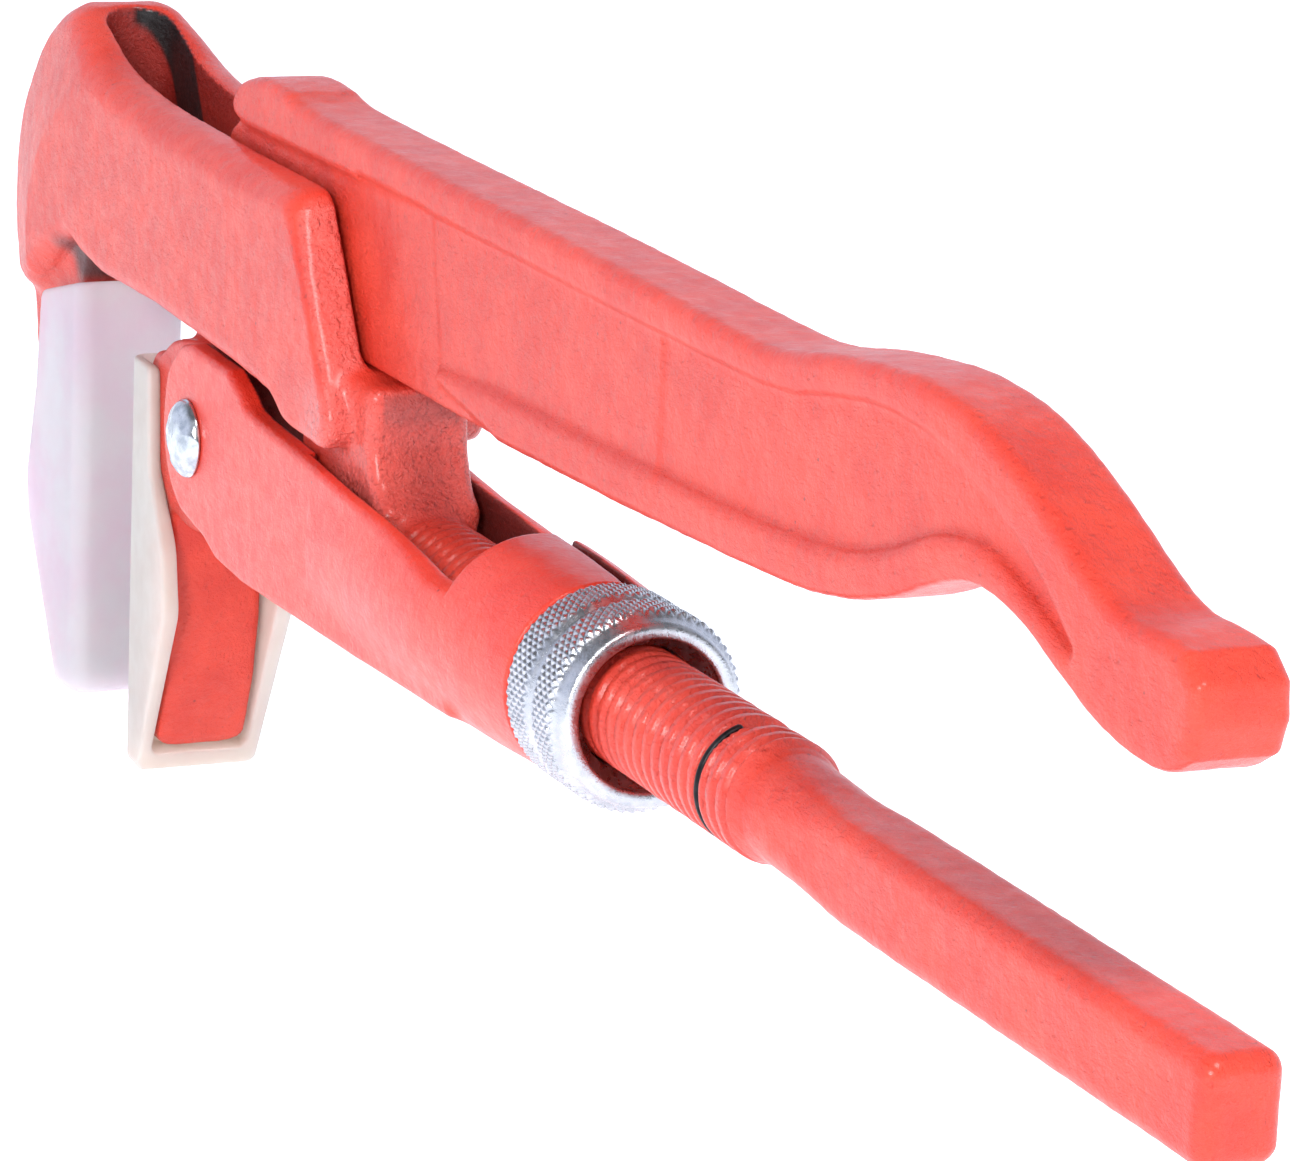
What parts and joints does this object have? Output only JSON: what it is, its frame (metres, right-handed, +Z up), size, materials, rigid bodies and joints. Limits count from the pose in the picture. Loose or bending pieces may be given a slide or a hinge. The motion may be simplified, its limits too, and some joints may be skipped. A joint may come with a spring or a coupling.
{
  "type": "pipe wrench",
  "caption": "Corner pipe wrench with toothed right-angle jaws under soft translucent caps, forged handles in red paint and a knurled adjusting nut.",
  "frame": {"origin": "bottom centre of the bounding box", "axes": "+X from the jaws towards the handle ends, along the stem; +Y across the thickness; +Z up, from the jaw tips towards the upper handle"},
  "size_m": [0.315, 0.0234, 0.0944],
  "materials": {
    "paint": "satin coral red dip paint over forged steel",
    "zinc": "zinc plated, knurled",
    "steel": "bright, hammered",
    "black": "blackened spring wire",
    "cap_lilac": "translucent soft plastic, faintly lilac",
    "cap_milky": "translucent soft plastic, faintly yellow"
  },
  "bodies": {
    "arm": {"hook_arm": "paint", "stop_ring": "black"},
    "sleeve": {"fork_sleeve": "paint", "pivot_rivet": "steel", "nut_retainer": "steel"},
    "nut": {"adjusting_nut": "zinc"},
    "lever": {"lever_arm": "paint"},
    "hook_cap": {"hook_jaw_cap": "cap_lilac"},
    "lever_cap": {"moving_jaw_cap": "cap_milky"}
  },
  "joints": [
    {"name": "sleeve_slide", "type": "slide", "parent": "arm", "child": "sleeve", "axis": [1, 0, 0], "range_m": [-0.02, 0.015]},
    {"name": "nut_spin", "type": "hinge", "parent": "sleeve", "child": "nut", "pos_m": [0.026, 0, 0.0455], "axis": [1, 0, 0], "range_deg": [-3275, 2457]},
    {"name": "lever_pivot", "type": "hinge", "parent": "sleeve", "child": "lever", "pos_m": [-0.079, 0, 0.0485], "axis": [0, 1, 0], "range_deg": [-12, 0]},
    {"name": "hook_cap_pull", "type": "slide", "parent": "arm", "child": "hook_cap", "axis": [0, 0, -1], "range_m": [0, 0.056]},
    {"name": "lever_cap_pull", "type": "slide", "parent": "lever", "child": "lever_cap", "axis": [0, 0, -1], "range_m": [0, 0.054]}
  ],
  "couplings": [
    {"joint": "nut_spin", "follows": "sleeve_slide", "rad_per_m": 2856}
  ]
}
